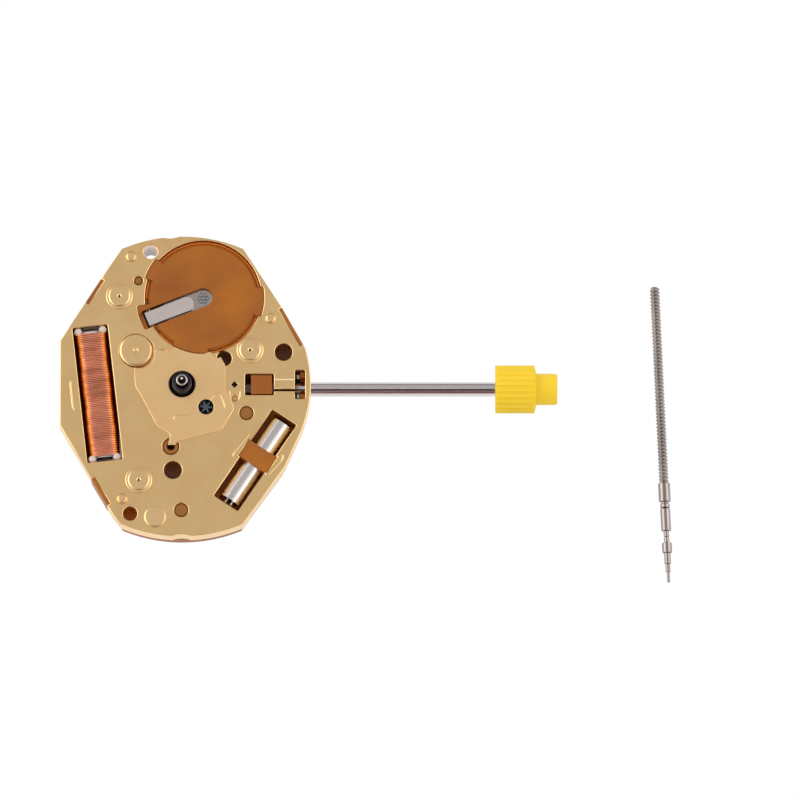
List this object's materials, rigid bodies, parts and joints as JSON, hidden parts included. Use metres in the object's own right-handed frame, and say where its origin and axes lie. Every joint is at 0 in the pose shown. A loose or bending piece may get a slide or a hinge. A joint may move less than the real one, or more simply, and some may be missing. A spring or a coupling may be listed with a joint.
{
  "type": "quartz watch movement",
  "caption": "Three-hand quartz watch movement, dial side up, with pull-out transport stem, knob and a loose winding stem beside it.",
  "frame": {"origin": "on the hand axis, in the plane the dial rests on", "axes": "+X from the hand axis along the stem towards the knob (three o'clock), +Y towards twelve o'clock, +Z out of the dial side along the hand posts"},
  "size_m": [0.0382, 0.0216, 0.0048],
  "materials": {
    "gold_plate": "satin gold flash on pressed brass",
    "cover_sheet": "satin gold flash",
    "amber_plastic": "moulded amber-brown engineering plastic, slightly glossy",
    "spring_brass": "bright rolled spring sheet",
    "cell_steel": "drawn bright steel",
    "steel": "bright machined steel",
    "stem_steel": "polished turned steel",
    "dark_steel": "dull grey magnetic steel",
    "black_metal": "blackened, satin",
    "coil_drum": "enamelled copper wire wound hard, glossy",
    "copper_wire": "enamelled copper, glossy",
    "can_metal": "bright drawn can",
    "board": "matt printed board with no print",
    "black_block": "matt moulding compound",
    "magnet": "dark sintered magnet",
    "white_plastic": "matt natural white gear plastic",
    "wheel_brass": "bright stamped brass",
    "knob_plastic": "moulded yellow plastic, semi-gloss"
  },
  "bodies": {
    "movement": {"main_plate": "gold_plate", "cover_plate": "cover_sheet", "pillars": "gold_plate", "locating_pins": "gold_plate", "rotor_bearing_cap": "gold_plate", "module_carrier": "amber_plastic", "negative_contact": "spring_brass", "button_cell": "cell_steel", "cell_clamp": "steel", "coil_core": "dark_steel", "coil_bobbin": "coil_drum", "coil_winding": "copper_wire", "stator": "dark_steel", "crystal_can": "can_metal", "crystal_leads": "steel", "circuit_board": "board", "circuit_block": "black_block", "train_bridge": "steel", "back_screws": "steel", "stem_clip": "steel", "yoke_spring": "steel", "winding_stem": "stem_steel"},
    "seconds": {"seconds_wheel": "wheel_brass", "seconds_arbor": "steel"},
    "rotor": {"rotor_magnet": "magnet", "rotor_pinion": "white_plastic"},
    "intermediate": {"intermediate_wheel": "white_plastic", "intermediate_pinion": "white_plastic"},
    "third": {"third_wheel": "white_plastic", "third_pinion": "white_plastic"},
    "minutes": {"centre_wheel": "wheel_brass", "cannon_pinion": "steel"},
    "minute_work": {"minute_wheel": "dark_steel", "minute_pinion": "dark_steel"},
    "hours": {"hour_wheel": "black_metal"},
    "setting_gear": {"setting_wheel": "steel"},
    "lever": {"setting_lever": "steel"},
    "stem": {"transport_stem": "stem_steel", "stem_knob": "knob_plastic"},
    "clutch": {"clutch_pinion": "steel"},
    "yoke_arm": {"yoke": "steel"}
  },
  "joints": [
    {"name": "seconds_spin", "type": "hinge", "parent": "movement", "child": "seconds", "pos_m": [0, 0, -0.001], "axis": [0, 0, 1], "continuous": true},
    {"name": "rotor_spin", "type": "hinge", "parent": "movement", "child": "rotor", "pos_m": [-0.00291, 0.00218, -0.001], "axis": [0, 0, 1], "continuous": true},
    {"name": "intermediate_spin", "type": "hinge", "parent": "movement", "child": "intermediate", "pos_m": [-0.00218, 0.00036, -0.001], "axis": [0, 0, 1], "continuous": true},
    {"name": "third_spin", "type": "hinge", "parent": "movement", "child": "third", "pos_m": [-0.00074, -0.00203, -0.001], "axis": [0, 0, 1], "continuous": true},
    {"name": "minutes_spin", "type": "hinge", "parent": "movement", "child": "minutes", "pos_m": [0, 0, -0.001], "axis": [0, 0, 1], "continuous": true},
    {"name": "minute_wheel_spin", "type": "hinge", "parent": "movement", "child": "minute_work", "pos_m": [0.0015, -0.00146, -0.001], "axis": [0, 0, 1], "continuous": true},
    {"name": "hours_spin", "type": "hinge", "parent": "movement", "child": "hours", "pos_m": [0, 0, -0.001], "axis": [0, 0, 1], "continuous": true},
    {"name": "setting_wheel_spin", "type": "hinge", "parent": "movement", "child": "setting_gear", "pos_m": [0.00331, -0.00089, -0.001], "axis": [0, 0, 1], "continuous": true},
    {"name": "stem_pull", "type": "slide", "parent": "movement", "child": "lever", "axis": [1, 0, 0], "range_m": [0, 0.0008]},
    {"name": "stem_turn", "type": "hinge", "parent": "lever", "child": "stem", "pos_m": [0.006, 0, -0.0015], "axis": [1, 0, 0], "continuous": true},
    {"name": "clutch_shift", "type": "slide", "parent": "stem", "child": "clutch", "axis": [1, 0, 0], "range_m": [-0.00125, 0]},
    {"name": "yoke_swing", "type": "hinge", "parent": "movement", "child": "yoke_arm", "pos_m": [0.0052, 0.00272, -0.0015], "axis": [0, 0, -1], "range_deg": [0, 12]}
  ],
  "couplings": [
    {"joint": "rotor_spin", "follows": "seconds_spin", "ratio": 30},
    {"joint": "intermediate_spin", "follows": "seconds_spin", "ratio": -5},
    {"joint": "third_spin", "follows": "seconds_spin", "ratio": -0.125},
    {"joint": "minutes_spin", "follows": "seconds_spin", "ratio": 0.016667},
    {"joint": "minute_wheel_spin", "follows": "seconds_spin", "ratio": -0.0083333},
    {"joint": "hours_spin", "follows": "seconds_spin", "ratio": 0.0013889},
    {"joint": "setting_wheel_spin", "follows": "seconds_spin", "ratio": 0.023333},
    {"joint": "clutch_shift", "follows": "stem_pull", "ratio": -1.5625},
    {"joint": "yoke_swing", "follows": "stem_pull", "rad_per_m": 259.6}
  ]
}
